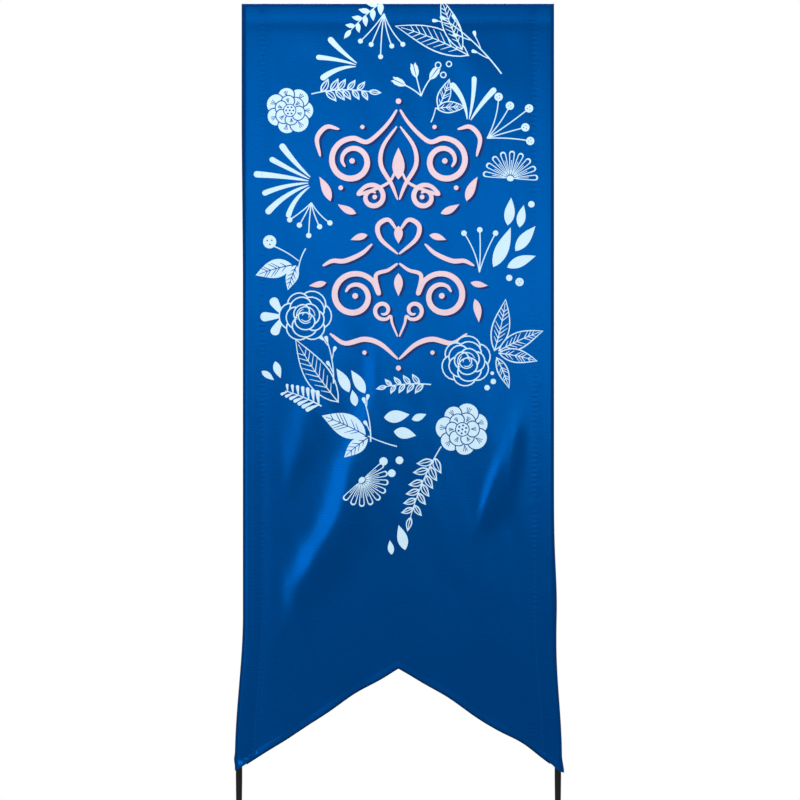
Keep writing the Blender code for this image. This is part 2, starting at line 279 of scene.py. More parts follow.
# Drawn aluminium tube: bright metal with fine lines along the draw, 0.4 mm apart.
def drawn_aluminium(name, rgb):
    material, tree, shader = start_material(name, {"Metallic": 1.0})
    where = add_node(tree, "ShaderNodeTexCoord", output="Object")
    along = add_node(tree, "ShaderNodeMapping", {"Vector": where, "Scale": (2400, 2400, 14)})
    lines = add_node(tree, "ShaderNodeTexNoise", {"Vector": along, "Scale": 1.0, "Detail": 3.0})
    finish(tree, shader, lines, times(rgb, 0.82), rgb, lines, (0.24, 0.42, 0.3, 0.7),
           (lines, 0.2, 0.00004))
    return material


def placed(name, data):
    """A new object in the scene, at the origin."""
    item = bpy.data.objects.new(name, data)
    bpy.context.scene.collection.objects.link(item)
    return item


# ---- how the sheet hangs
# Each fold: height of its crest, width of its steep left flank, how many times wider the right
# one is, its fades at the top and the bottom, and (z, x) down its crest.
FOLDS = (
    (0.0062, 0.0326, 1.8, (1.30, 1.12), (0.555, 0.80),
     ((1.30, -0.020), (1.197, -0.030), (1.08, -0.034), (0.985, -0.062), (0.920, -0.088),
      (0.875, -0.098), (0.846, -0.106), (0.817, -0.119), (0.787, -0.137), (0.758, -0.153),
      (0.729, -0.170), (0.700, -0.186), (0.670, -0.197), (0.641, -0.207), (0.612, -0.223),
      (0.55, -0.250))),
    (0.0032, 0.034, 1.0, (1.28, 1.16), (0.84, 0.96),
     ((1.30, -0.125), (1.137, -0.135), (1.108, -0.142), (1.080, -0.152), (1.000, -0.178),
      (0.920, -0.200), (0.850, -0.222))),
    (0.0058, 0.021, 2.9, (1.08, 0.98), (0.760, 0.870),
     ((1.06, 0.247), (1.000, 0.230), (0.963, 0.217), (0.934, 0.204), (0.905, 0.191),
      (0.875, 0.180), (0.846, 0.170), (0.80, 0.153))),
    (0.0018, 0.045, 1.0, (1.45, 1.25), (0.80, 0.95),
     ((1.50, 0.080), (1.20, 0.070), (1.00, 0.050), (0.80, 0.000))),
)


def crest(points, z):
    """x of a fold's crest at height z, straight between its points."""
    if z >= points[0][0]:
        return points[0][1]
    for (z0, x0), (z1, x1) in zip(points, points[1:]):
        if z >= z1:
            return x0 + (x1 - x0) * (z0 - z) / (z0 - z1)
    return points[-1][1]


def bump(distance, width):
    """A rounded hump: 1 in its middle, and nearly 0 beyond twice its width."""
    return math.exp(-(distance / width) ** 2)


def cut_z(x):
    """Height of the swallow-tail edge at x. The tails sag a little, the right tip hangs lower."""
    a = abs(x)
    wave = 0.0005 * math.sin(a * 70 + (0.6 if x > 0 else 2.1)) * smooth((0.32 - a) / 0.1)
    belly = 0.0075 * bump(x - 0.240, 0.035) + 0.0045 * bump(a - 0.09, 0.05)
    tip = 0.004 * smooth((x - 0.296) / 0.016)
    return NOTCH_Z - NOTCH_SLOPE * a + wave * smooth(a / 0.03) + belly - tip


def sway(side, z):
    """How far a pocket's outside edge stands past its pole: at the tips, and where it is slack."""
    if side > 0:
        return 0.0042 * smooth((0.368 - z) / 0.034) + 0.0055 * bump(z - 0.66, 0.10)
    return 0.0018 * bump(z - 0.360, 0.009) + 0.0024 * smooth((z - 1.27) / 0.35)


def relief(u, w):
    """How far the cloth lies behind its flat front plane: folds, seam dips, puckers and hems."""
    fold = bpy.context.scene.banner.fold
    edge = pole_x(w)
    inward = edge - abs(u)
    down = SLEEVE_Z - w
    free = smooth((inward - 0.034) / 0.05) * smooth((down - 0.034) / 0.07)
    y = 0.0
    if free > 0:
        for height, width, ease, fade_in, fade_out, points in FOLDS:
            share = smooth((fade_in[0] - w) / (fade_in[0] - fade_in[1])) * smooth(
                (w - fade_out[0]) / (fade_out[1] - fade_out[0]))
            if share > 0:
                narrow = 0.45 + 0.55 * smooth((w - fade_out[0]) / 0.20)  # a fold ends in a fine tip
                d = (u - crest(points, w)) / (width * narrow)
                d /= ease if d > 0 else 1.0
                y -= fold * height * narrow * share * bump(d, 1.0)
        y -= 0.0012 * fold * noise.noise(Vector((u * 9.0 + w * 3.0, w * 4.0, 2.0)))
        y -= 0.0005 * fold * noise.noise(Vector((u * 26.0 + w * 8.0, w * 9.0, 7.0)))
        y *= free
    for gap, along in ((inward - POCKET, w), (down - POCKET, u)):
        if abs(gap) < 0.04:
            pucker = 0.00006 * math.sin(along * 640) + 0.00004 * math.sin(along * 1010 + 1)
            y += 0.0004 * bump(gap, 0.012) + pucker * bump(gap, 0.006)
    rise = (w - cut_z(u)) / NOTCH_RUN
    if rise < 0.03:
        y -= 0.0005 * smooth((HEM + 0.001 - rise) / 0.002)
        y += 0.0004 * bump(rise - HEM + 0.002, 0.0012)
        slack = smooth((0.03 - rise) / 0.03) * smooth((inward - 0.02) / 0.03)
        y += 0.0006 * math.sin(u * 58) * slack
    return y


def hang(u, w):
    """Where the point u across and w up on the flat sheet comes to hang."""
    edge = pole_x(min(w, SLEEVE_Z))
    quarter = math.pi / 2
    side_turn = min(max((abs(u) - edge) / RADIUS, 0.0), quarter)
    top_turn = min(max((w - SLEEVE_Z) / RADIUS, 0.0), quarter)
    side = 1.0 if u >= 0 else -1.0
    x = min(abs(u), edge) + (RADIUS + sway(side, w)) * math.sin(side_turn)
    z = min(w, SLEEVE_Z) + RADIUS * math.sin(top_turn)
    turn = max(side_turn, top_turn)
    return Vector((side * x, -RADIUS * math.cos(turn) + relief(u, w) * math.cos(turn) ** 2, z))


def rearward(u, w):
    """Unit vector from the front of the sheet to its back."""
    step = 0.0006
    across = hang(u + step, w) - hang(u - step, w)
    up = hang(u, w + step) - hang(u, w - step)
    return up.cross(across).normalized()


# ---- the print, drawn flat in mm
def spine(size, bend, count=11):
    """A curve from the origin along +x that turns by bend radians over its length."""
    points, last = [0j], count - 1
    for i in range(last):
        points.append(points[-1] + size / last * cmath.exp(1j * bend * (i + 0.5) / last))
    return points


def heading(line, i=-2):
    """Direction in degrees of a line after its point i, or of its end."""
    return math.degrees(cmath.phase(line[i + 1] - line[i]))


def fanned(count):
    """The number of each of count marks, and its place from -1 to 1 across their fan."""
    return [(k, 2 * k / (count - 1) - 1) for k in range(count)]


def ribbon(points, widths):
    """The outline of a band along points, each with its full width."""
    left, right = [], []
    for i, p in enumerate(points):
        d = points[min(i + 1, len(points) - 1)] - points[max(i - 1, 0)]
        n = 1j * d / abs(d) * widths[i] / 2
        left.append(p + n)
        right.append(p - n)
    return right + left[::-1]


def pen_line(line, pen, thinning=0.0, kind=WHITE):
    """A line of the pen, thinner by an equal amount at each point."""
    return kind, ribbon(line, [pen - thinning * i for i in range(len(line))])


def leaf_outline(size, width, bend=0.0, count=9):
    """A leaf pointed at both ends, widest nearer its base."""
    widths = [width * math.sin(math.pi * (i / (count - 1)) ** 0.8) for i in range(count)]
    return ribbon(spine(size, bend, count), [max(w, 0.15) for w in widths])


def drop_outline(size, width, bend=0.0, start=0.0):
    """A brush mark: thin where it starts, full and half round where it ends."""
    line, last = spine(size, bend, 201), 11
    points, widths = [], []
    for i in range(last + 1):
        t = math.sin(math.pi / 2 * i / last)  # closer points towards the round end
        short = min(1.0, (1 - t) * size / (width / 2))
        full = width * (0.12 + 0.88 * t ** 0.7)
        points.append(start + line[round(200 * t)])
        widths.append(max(0.4, full * math.sqrt(1 - (1 - short) ** 2)))
    return ribbon(points, widths)


def disc(radius, at=0j, count=14, squeeze=1.0):
    return [at + complex(radius * math.cos(a), squeeze * radius * math.sin(a))
            for a in (i * math.tau / count for i in range(count))]


def moved(shapes, at=0j, turn=0.0, mirror=False):
    spin = cmath.exp(1j * math.radians(turn))
    return [(kind, [at + spin * (p.conjugate() if mirror else p) for p in loop])
            for kind, loop in shapes]


def eased(points, parts):
    """More points along a smooth line through points."""
    ends = [2 * points[0] - points[1], *points, 2 * points[-1] - points[-2]]
    line = []
    for a, b, c, d in zip(ends, ends[1:], ends[2:], ends[3:]):
        for k in range(parts):
            t = k / parts
            line.append(0.5 * (2 * b + (c - a) * t + (2 * a - 5 * b + 4 * c - d) * t * t
                               + (3 * b - a - 3 * c + d) * t ** 3))
    return line + [points[-1]]


def stroke(kind, points, width, ends=0.35, parts=5):
    """A pen line through points, thinner at its ends, as bands that never cross themselves."""
    line = eased(points, parts)
    last = len(line) - 1
    widths = [width * (ends + (1 - ends) * math.sin(math.pi * i / last) ** 0.6)
              for i in range(last + 1)]
    shapes, start, turned = [], 0, 0.0
    for i in range(1, last):
        turned += abs(cmath.phase((line[i + 1] - line[i]) / (line[i] - line[i - 1])))
        if turned > 1.4:
            shapes.append((kind, ribbon(line[start:i + 1], widths[start:i + 1])))
            shapes.append((kind, disc(widths[i] / 2, line[i], 10)))
            start, turned = i, 0.0
    shapes.append((kind, ribbon(line[start:], widths[start:])))
    return shapes + [(kind, disc(widths[i] / 2, line[i], 8)) for i in (0, -1)]


def leaf(size, width, bend, style="solid", veins=0):
    """A leaf: solid, cut with blue veins, or drawn in outline with white veins."""
    shapes = [(WHITE, leaf_outline(size, width, bend, 13))]
    line, pen = spine(size, bend, 13), WHITE
    if style == "solid":
        return shapes
    if style == "outline":
        share = 1 - 7.0 / size
        inner = leaf_outline(size * share, max(width - 4.8, 1.5), bend, 13)
        shapes.append((NONE, [p + 0.45 * (1 - share) * size for p in inner]))
    else:
        pen = NONE
    shapes.append(pen_line(line[:-1], 2.2, 0.09, pen))
    for k in range(veins):
        i = 2 + round(k * 8 / veins)
        ahead = cmath.phase(line[i + 1] - line[i])
        reach = width * 0.46 * math.sin(math.pi * (i / 12) ** 0.8)
        for side in (1, -1):
            tip = line[i] + reach * 1.2 * cmath.exp(1j * (ahead + side * 0.72))
            shapes.append((pen, ribbon([line[i], (line[i] + tip) / 2, tip], [1.7, 1.5, 0.8])))
    return shapes


def stem(size, bend):
    return [pen_line(spine(size, bend, 13), 2.4, 0.048)]


def sprig(size, blade, pairs, bend, style="solid"):
    """A stem with staggered leaves that shorten towards its tip."""
    line = spine(size, bend, 25)
    shapes = [pen_line(line, 2.4, 0.04)]
    for k in range(2 * pairs):
        t = 0.16 + 0.76 * k / (2 * pairs - 1)
        i, side = round(t * 23), 1 - 2 * (k % 2)
        reach = blade * (1 - 0.30 * t)
        shapes += moved(leaf(reach, reach * 0.46, 0.4, style), line[i],
                        heading(line, i) + side * 40, side < 0)
    return shapes + moved(leaf(blade * 0.8, blade * 0.34, 0.1, style), line[-1], heading(line))


def brush_fan(count, spread, size, width, start):
    """Brush marks that spread from one point and bow outwards."""
    shapes = []
    for k, t in fanned(count):
        share = (1.0, 0.86)[k % 2] * (1 - 0.20 * t * t)
        mark = drop_outline(size * share, width * (1.0, 0.85)[k % 2], 0.5 * t + 0.25, start)
        shapes += moved([(WHITE, mark)], 0j, t * spread / 2 - 6)
    return shapes


def berry(radius):
    """A round berry with three specks."""
    specks = [(NONE, disc(radius * 0.13, 0.4 * radius * cmath.exp(1j * (0.6 + 2.1 * k)), 6))
              for k in range(3)]
    return [(WHITE, disc(radius))] + (specks if radius > 6 else [])


def berry_fan(count, spread, size, radius):
    """Thin stems that spread from one point, each with a berry at its end."""
    shapes = []
    for k, t in fanned(count):
        line = spine(size * (1 - 0.16 * abs(t)) * (1.0, 0.84)[k % 2], 0.35 * t + 0.12)
        stalk = [pen_line(line, 2.2)] + moved(berry(radius), line[-1], -t * spread / 2)
        shapes += moved(stalk, 0j, t * spread / 2)
    return shapes


def bud_stem(size, buds):
    """A stem whose short side stalks end in drop-shaped buds."""
    line = spine(size, 0.35, 25)
    shapes = [pen_line(line, 2.8, 0.04)]
    for k in range(buds):
        i, side = 6 + round(16 * k / (buds - 1)), 1 - 2 * (k % 2)
        stalk = spine(size * 0.17, -0.3, 5)
        parts = [pen_line(stalk, 1.9), (WHITE, [stalk[-1] + p for p in drop_outline(13, 8.5)])]
        shapes += moved(parts, line[i], heading(line, i) + side * 30, side < 0)
    return shapes + moved([(WHITE, drop_outline(14, 9))], line[-1], heading(line))


def bud_fan(count, spread, size):
    """Closed flowers on curved stalks, each split by a blue line."""
    sepals = [(WHITE, leaf_outline(size * 0.46, 13, bend)) for bend in (0.3, -0.3)]
    split = ribbon([4 + 0j, size * 0.22, size * 0.42], [0.8, 1.4, 1.6])
    bud = sepals + [(WHITE, drop_outline(size * 0.40, 19)), (NONE, split)]
    shapes = []
    for _, t in fanned(count):
        line = spine(size * 0.55, 0.3 * t, 9)
        shapes += moved([pen_line(line, 2.4)] + moved(bud, line[-1], 17 * t), 0j, t * spread / 2)
    return shapes


def half_daisy(radius):
    """Half a daisy: narrow petals in outline above a small cup."""
    shapes = [(WHITE, [p * cmath.exp(0.04j) for p in drop_outline(radius * 0.9, 4, 0.2)])]
    for k in range(9):
        angle = 6 + 168 * k / 8
        shapes += moved([(WHITE, drop_outline(radius * 0.86, 12.4, 0.0, radius * 0.14)),
                         (NONE, drop_outline(radius * 0.70, 7.8, 0.0, radius * 0.24))], 0j, angle)
        shapes += moved([pen_line([radius * 0.2, radius * 0.66], 1.2)], 0j, angle)
    return shapes + [(WHITE, disc(radius * 0.13, 0j, 12, 0.8))]


def petal_rings(radius, rings, body, rim, edge, lines):
    """Overlapping round petals in rings, each edged in the other colour, a little uneven."""
    shapes = []
    for ring, (count, at, size) in enumerate(rings):
        for k in range(count):
            uneven = 1 + 0.10 * math.sin(2.4 * k + ring)
            angle = 360 * (k + 0.5 * (ring % 2)) / count + 11 * ring + 5 * math.sin(3.1 * k)
            reach, centre = size * radius * uneven, complex(at * radius, 0)
            petal = [(rim, disc(reach + edge / 2, centre, 18, 1.16)),
                     (body, disc(reach - edge / 2, centre, 18, 1.16))]
            for slope in lines:
                tip = centre + reach * 0.55 * cmath.exp(1j * math.radians(slope))
                petal.append((rim, ribbon([centre - reach * 0.25, tip], [0.8, 1.5])))
            shapes += moved(petal, 0j, angle)
    return shapes


def bloom(radius):
    """A full white flower with scalloped petals and a dotted heart."""
    shapes = [(WHITE, disc(radius * 0.8, 0j, 20))]
    rings = ((7, 0.66, 0.33), (6, 0.38, 0.25))
    shapes += petal_rings(radius, rings, WHITE, NONE, 1.9, (-26, 0, 26))
    core = radius * 0.24
    shapes += [(NONE, disc(core * 1.15)), (WHITE, disc(core))]
    spots = [0j] + [0.62 * core * cmath.exp(1j * k * math.tau / 6) for k in range(6)]
    return shapes + [(NONE, disc(core * 0.17, at, 7)) for at in spots]


def rose(radius):
    """A rose in outline: a wound heart inside wide overlapping petals."""
    rings = ((6, 0.60, 0.40), (5, 0.40, 0.38), (3, 0.20, 0.32))
    shapes = petal_rings(radius, rings, NONE, WHITE, 2.4, ())
    for k in range(4):
        reach = radius * (0.36 - 0.075 * k)
        arc = [reach * cmath.exp(1j * (k * 1.9 + 0.5 * i)) for i in range(8)]
        shapes += stroke(WHITE, arc, 2.2, 0.5, 2)
    return shapes


def cluster(count, spread, size, width):
    """Round-ended drops that point outwards from a common foot."""
    shapes = []
    for _, t in fanned(count):
        drop = drop_outline(size * (1 - 0.1 * abs(t)), width, 0.3 * t, 5.0)
        shapes += moved([(WHITE, drop)], 0j, t * spread / 2)
    return shapes


def dots(*spots):
    return [(WHITE, disc(r, complex(x, y), 12)) for x, y, r in spots]


def ring_mark(radius):
    return [(WHITE, disc(radius, 0j, 16)), (NONE, disc(radius - 2.3, 0j, 16))]


def ladder(count, step, size, width):
    """A fern frond of brush marks that shorten to its tip."""
    line = spine(count * step, 0.25, 2 * count + 1)
    shapes = [pen_line(line, 2.8, 0.1)]
    for k in range(count):
        blade = drop_outline(size * (1 - 0.55 * k / count), width * (1 - 0.4 * k / count), 0.2, 0.5)
        for side in (1, -1):
            shapes += moved([(WHITE, blade)], line[2 * k + 1], side * 48, side < 0)
    return shapes


# Each mark of the wreath: shape, mm right of the middle, mm below the top, turn in degrees.
WREATH = (
    (sprig(96, 27, 4, 0.25), -20, -10, 214), (berry_fan(5, 52, 84, 4.8), -28, 21, 262),
    (leaf(156, 46, 0.28, "outline", 9), 137, 103, 150),
    (leaf(112, 34, -0.22, "outline", 7), 124, 92, 118), (bud_stem(150, 5), 200, 138, 126),
    (brush_fan(3, 34, 92, 12, 12), -71, 124, 168), (bloom(47), -211, 209, 0),
    (sprig(112, 32, 5, -0.4, "outline"), -169, 177, 14), (bud_fan(3, 66, 66), 44, 181, 104),
    (ring_mark(6.6), 77, 121, 0), (ring_mark(6.2), 98, 119, 0), (ring_mark(6.4), 87, 140, 0),
    (leaf(62, 26, 0.25, "outline", 5), 77, 205, 62),
    (leaf(58, 24, -0.2, "outline", 5), 73, 205, 8), (stem(30, 0.3), 63, 232, 64),
    (brush_fan(3, 34, 98, 12, 12), 134, 238, 82), (berry_fan(5, 58, 100, 8.2), 172, 263, 32),
    (half_daisy(54), 217, 341, -4), (brush_fan(6, 74, 108, 13, 16), -159, 349, 182),
    (berry_fan(5, 74, 64, 5.2), -169, 388, 262), (berry(13), -250, 464, 0),
    (stem(58, -0.3), -243, 472, -22), (stem(48, 0.5), -180, 477, 238),
    (leaf(74, 36, 0.2, "veined", 5), -206, 509, 190),
    (leaf(52, 24, 0.25, "veined", 4), -197, 509, 243), (cluster(3, 100, 42, 21), -221, 608, 182),
    (berry_fan(3, 24, 98, 5.4), 157, 523, 86), (leaf(54, 20, 0.1), 212, 432, 80),
    (leaf(44, 17, -0.1), 235, 436, 82), (leaf(84, 26, 0.15), 184, 513, 62),
    (leaf(62, 22, -0.1), 227, 482, 54), (leaf(60, 21, -0.2), 211, 514, 28),
    (dots((0, 0, 6.4)), 258, 391, 0), (berry(8.2), 235, 542, 0), (dots((0, 0, 6.2)), 215, 534, 0),
    (leaf(150, 50, -0.2, "outline", 8), -116, 776, 130), (bud_stem(80, 3), -126, 739, 88),
    (rose(50), -180, 608, 0), (leaf(34, 15, 0.2), -239, 696, -78),
    (leaf(30, 12, -0.2), -266, 715, -30), (leaf(52, 20, 0.2), -96, 756, 112),
    (leaf(52, 20, 0.1), -65, 758, 118), (leaf(32, 15, 0), -83, 783, 102),
    (ladder(7, 11, 28, 9), -149, 783, 150), (sprig(86, 27, 4, 0.3, "outline"), 63, 741, 174),
    (leaf(94, 46, 0.2, "veined", 6), -63, 840, 150),
    (leaf(60, 28, 0.2, "veined", 4), -59, 844, 214), (bud_stem(74, 2), -54, 852, 88),
    (stem(60, -0.2), -3, 861, 166), (leaf(50, 24, 0.1), -28, 805, 4),
    (leaf(44, 22, -0.1), -9, 832, -8), (leaf(30, 14, 0.1), 26, 809, 18),
    (dots((-14, 6, 8.2), (17, 8, 7.6), (2, -17, 7.6)), -15, 896, 0),
    (half_daisy(52), -71, 926, 222), (leaf(50, 20, 0.1), 13, 1062, 102),
    (leaf(28, 12, 0), -13, 1071, 98), (rose(48), 132, 696, 24),
    (leaf(104, 36, 0.2, "outline", 7), 186, 676, 72),
    (leaf(96, 34, -0.2, "outline", 7), 194, 676, 30),
    (leaf(78, 28, -0.2, "outline", 6), 194, 680, -6),
    (leaf(66, 22, -0.2, "outline", 5), 190, 688, -62),
    (dots((0, 0, 5.4), (-12, -12, 5.4), (-2, 16, 3.6)), 184, 735, 0), (bloom(52), 124, 828, 20),
    (sprig(150, 36, 6, 0.3, "outline"), 83, 861, 238),
)


def curl(centre, radius, start, turns):
    """A spiral that opens from its eye, as points."""
    return [centre + radius * (0.38 + 0.62 * i / 16)
            * cmath.exp(1j * (math.radians(start) + turns * math.tau * i / 16)) for i in range(17)]


def middle_ornament():
    """The pink scrolls, bud and heart inside the wreath, with their offset shadow."""
    half = []
    for width, line in (
            (11.5, curl(-90 + 140j, 46, 215, -1.45) + [-40 + 192j, -18 + 216j, -4 + 238j]),
            (9.2, [-152 + 150j, -158 + 184j, -140 + 206j, -116 + 202j]),
            (9.7, curl(-50 + 70j, 26, 60, 1.3) + [-22 + 96j, -5 + 122j]),
            (8.5, [-4 + 206j, -30 + 168j, -34 + 132j, -14 + 96j, -2 + 66j]),
            (9.2, [-3 + 6j, -20 + 26j, -40 + 14j, -34 - 12j, -2 - 40j]),
            (11.5, curl(-86 - 122j, 48, 150, -1.4) + [-44 - 82j, -20 - 72j, -3 - 60j]),
            (9.2, [-146 - 63j, -128 - 54j, -104 - 54j, -72 - 40j, -52 - 22j]),
            (9.9, [-2 - 244j, -34 - 216j, -66 - 206j, -104 - 214j, -132 - 196j]),
            (8.0, curl(-30 - 150j, 19, 250, 1.2) + [-12 - 176j, -2 - 200j])):
        half += stroke(PINK, line, width)
    for size, width, bend, at, turn in (
            (52, 17, 0.3, -132 + 62j, 106), (40, 14, -0.3, -82 + 38j, 162),
            (34, 13, 0.2, -60 - 4j, 190), (46, 15, 0.35, -148 - 128j, 250),
            (34, 12, -0.2, -140 - 96j, 196)):
        half += moved([(PINK, leaf_outline(size, width, bend))], at, turn)
    half += [(PINK, disc(radius, at)) for radius, at in (
        (5.4, -90 + 140j), (4.6, -46 + 70j), (5.6, -84 - 122j), (4.6, -112 + 88j),
        (4.2, -70 + 206j), (4.2, -66 - 232j))]
    shapes = half + [(kind, [complex(-p.real, p.imag) for p in loop]) for kind, loop in half]
    for size, width, at, turn in ((62, 24, 104j, 90), (34, 17, 14j, -90), (44, 17, -78j, -90)):
        shapes += moved([(PINK, leaf_outline(size, width))], at, turn)
    shapes += [(PINK, disc(5.4, 256j)), (PINK, disc(5.0, -262j))]
    offset = 5.0 - 3.6j
    return [(SHADE, [p + offset for p in loop]) for _, loop in shapes] + shapes


def print_layers():
    """Every printed shape as an ink and a loop of flat points, in the order it is printed."""
    shapes = moved(middle_ornament(), -447j)
    for mark, right, below, turn in WREATH:
        shapes += moved(mark, complex(right, -below), turn)
    layers = []
    for kind, loop in shapes:
        points = [(p.real * MM, TOP_Z + p.imag * MM) for p in loop]
        area = sum(a[0] * b[1] - b[0] * a[1] for a, b in zip(points, points[1:] + points[:1]))
        if abs(area) > 1e-7:  # leaves out shapes too small to print
            layers.append((kind, points if area > 0 else points[::-1]))
    return layers


# ---- sewing
def steps(start, end, gap):
    """Evenly spaced values from start to end, about gap apart."""
    count = max(1, round(abs(end - start) / gap))
    return [start + (end - start) * i / count for i in range(count + 1)]


def flat_edge(side, w):
    """How far the flat sheet reaches from its middle at w: past the pole and a quarter turn."""
    return side * (pole_x(min(w, SLEEVE_Z)) + QUARTER)


def sheet_outline():
    """The cut of the front: right side, top, left side, and the swallow tail."""
    top = SLEEVE_Z + QUARTER
    tips = {}
    for side in (-1, 1):
        w = TIP_Z
        for _ in range(8):
            w = cut_z(side * pole_x(w) + side * RADIUS)
        tips[side] = w
    right = [(flat_edge(1, w), w) for w in steps(tips[1], top, 0.006)]
    left = [(flat_edge(-1, w), w) for w in steps(top, tips[-1], 0.006)]
    upper = [(x, top) for x in steps(flat_edge(1, top), flat_edge(-1, top), 0.006)[1:-1]]
    lower = []
    for u in (steps(flat_edge(-1, tips[-1]), 0.0, 0.004)[1:]
              + steps(0.0, flat_edge(1, tips[1]), 0.004)[1:-1]):
        side = 1 if u >= 0 else -1
        edge = pole_x(TIP_Z + 0.005)
        x = u if abs(u) <= edge else side * (edge + RADIUS * math.sin((abs(u) - edge) / RADIUS))
        lower.append((u, cut_z(x)))
    return right + upper + left + lower


def sheet_stations():
    """Points inside the sheet: a grid, closer where it turns round a pole or is sewn."""
    grid, coarse, fine = 0.0086, 0.0076, 0.0037
    turns = [-QUARTER * k / 6 for k in range(6)]
    lanes = [0.052, 0.046, 0.041, 0.037, 0.034, 0.032, POCKET, 0.028, 0.026, 0.023, 0.018, 0.012,
             0.006] + turns
    points = []
    for row, w in enumerate(steps(0.345, SLEEVE_Z - 0.056, grid)):
        shift = grid / 2 * (row % 2)
        points += [(u + shift, w) for u in steps(-0.245, 0.241, grid) if w > cut_z(u) + 0.016]
    for inward in lanes:
        gap = fine if 0.025 < inward < 0.035 else coarse  # finer at the seam, for its puckers
        clear = 0.014 if inward > 0.04 else 0.004
        for side in (-1, 1):
            for w in steps(TIP_Z, SLEEVE_Z - max(inward, 0), gap):
                u = side * (pole_x(w) - inward)
                if w > cut_z(u) + clear:
                    points.append((u, w))
        reach = HALF_SPACING - max(inward, 0)
        points += [(u, SLEEVE_Z - inward) for u in steps(-reach, reach, gap)[1:-1]]
    points += [(side * (HALF_SPACING - depth), SLEEVE_Z - height)
               for side in (-1, 1) for depth in turns for height in turns]
    for u in steps(-0.30, 0.30, 0.0045):
        for rise in (0.0012, 0.0035, 0.0060, 0.0080, 0.0094, 0.0108, 0.0128, 0.0160):
            points.append((u, cut_z(u) + rise * NOTCH_RUN))
    return points


def lay_out(outline, layers, stations):
    """Cuts the flat sheet into triangles along every edge of the print."""
    points, loops = [], []
    for loop in [outline] + [loop for _, loop in layers]:
        loops.append(list(range(len(points), len(points) + len(loop))))
        points += [Vector(p) for p in loop]
    points += [Vector(p) for p in stations]
    cut = geometry.delaunay_2d_cdt(points, [], loops, 0, 1e-7, True)
    spots, faces, sources = cut[0], cut[2], cut[5]
    kept, inks = [], []
    for face, source in zip(faces, sources):
        if 0 in source:
            top = max(source)
            kept.append(tuple(face))
            inks.append(NONE if top == 0 else layers[top - 1][0])
    used = sorted({i for face in kept for i in face})
    number = {old: new for new, old in enumerate(used)}
    return [spots[i] for i in used], [tuple(number[i] for i in face) for face in kept], inks


def thick_cloth(name, points, inward, faces, flat, materials, inks=None, thickness=SHEET):
    """Cloth with two skins and a rim. inward leads from the shown skin to the other one."""
    count = len(points)
    inks = inks or [0] * len(faces)
    shown = [-n for n in inward]
    corners = points + [p + n * thickness for p, n in zip(points, inward)]
    polygons = list(faces) + [tuple(count + i for i in reversed(f)) for f in faces]
    edges = {(f[i], f[(i + 1) % len(f)]) for f in faces for i in range(len(f))}
    rim = sorted((a, b) for a, b in edges if (b, a) not in edges)
    polygons += [(b, a, a + count, b + count) for a, b in rim]
    mesh = bpy.data.meshes.new(name)
    mesh.from_pydata(corners, [], polygons)
    mesh.update()
    for material in materials:
        mesh.materials.append(material)
    back = [REVERSE[k] for k in inks] if len(materials) > 1 else inks
    mesh.polygons.foreach_set("material_index", inks + back + [0] * len(rim))
    mesh.polygons.foreach_set("use_smooth", [True] * len(polygons))
    layer = mesh.uv_layers.new(name="flat")
    both = list(flat) * 2
    layer.data.foreach_set("uv", [c for p in polygons for i in p for c in both[i]])
    normals = []
    for k, p in enumerate(polygons):
        if k < len(faces):
            normals += [shown[i] for i in p]
        elif k < 2 * len(faces):
            normals += [inward[i - count] for i in p]
        else:
            normals += [mesh.polygons[k].normal.copy()] * len(p)
    mesh.normals_split_custom_set(normals)
    return placed(name, mesh)


def woven_strip(name, places, material, thickness, flip):
    """A strip of cloth through rows of (point, place on the flat cloth). flip turns it over."""
    rows = [[point for point, _ in row] for row in places]
    wide = len(rows[0])
    points = [p for row in rows for p in row]
    inward = []
    for i, row in enumerate(rows):
        for j in range(wide):
            along = rows[min(i + 1, len(rows) - 1)][j] - rows[max(i - 1, 0)][j]
            across = row[min(j + 1, wide - 1)] - row[max(j - 1, 0)]
            n = along.cross(across).normalized()
            inward.append(n if flip else -n)
    faces = []
    for i in range(len(rows) - 1):
        for j in range(wide - 1):
            a = i * wide + j
            quad = (a, a + 1, a + wide + 1, a + wide)
            faces.append(quad if flip else quad[::-1])
    flat = [place for row in places for _, place in row]
    return thick_cloth(name, points, inward, faces, flat, [material], thickness=thickness)


def pocket_section():
    """The back of a pocket from its outside edge to the seam: (inward, y, length so far)."""
    skin = RADIUS - SHEET - 0.0001
    points = [complex(-skin * math.cos(a), skin * math.sin(a))
              for a in (math.pi / 2 * k / 8 for k in range(9))]
    seam_y = -RADIUS + SHEET + 0.0024
    points += [complex(inward, y) for inward, y in (
        (POCKET_FLAT * 0.5, skin), (POCKET_FLAT, skin * 0.97), (0.0168, skin * 0.70),
        (0.0200, skin * 0.32), (0.0235, -skin * 0.12), (0.0267, -skin * 0.48), (0.0290, seam_y),
        (0.0312, seam_y - 0.0007), (0.0335, seam_y - 0.0008))]
    section, run = [], 0.0
    for i, p in enumerate(points):
        run += abs(p - points[i - 1]) if i else 0.0
        section.append((p.real, p.imag, run))
    return section


def ripple(along, inward):
    """The shallow waves of a pocket's slack back, none at its seam or its outside edge."""
    return (0.0004 * math.sin(along + inward * 160) * smooth(inward / 0.012)
            * smooth((0.027 - inward) / 0.01))


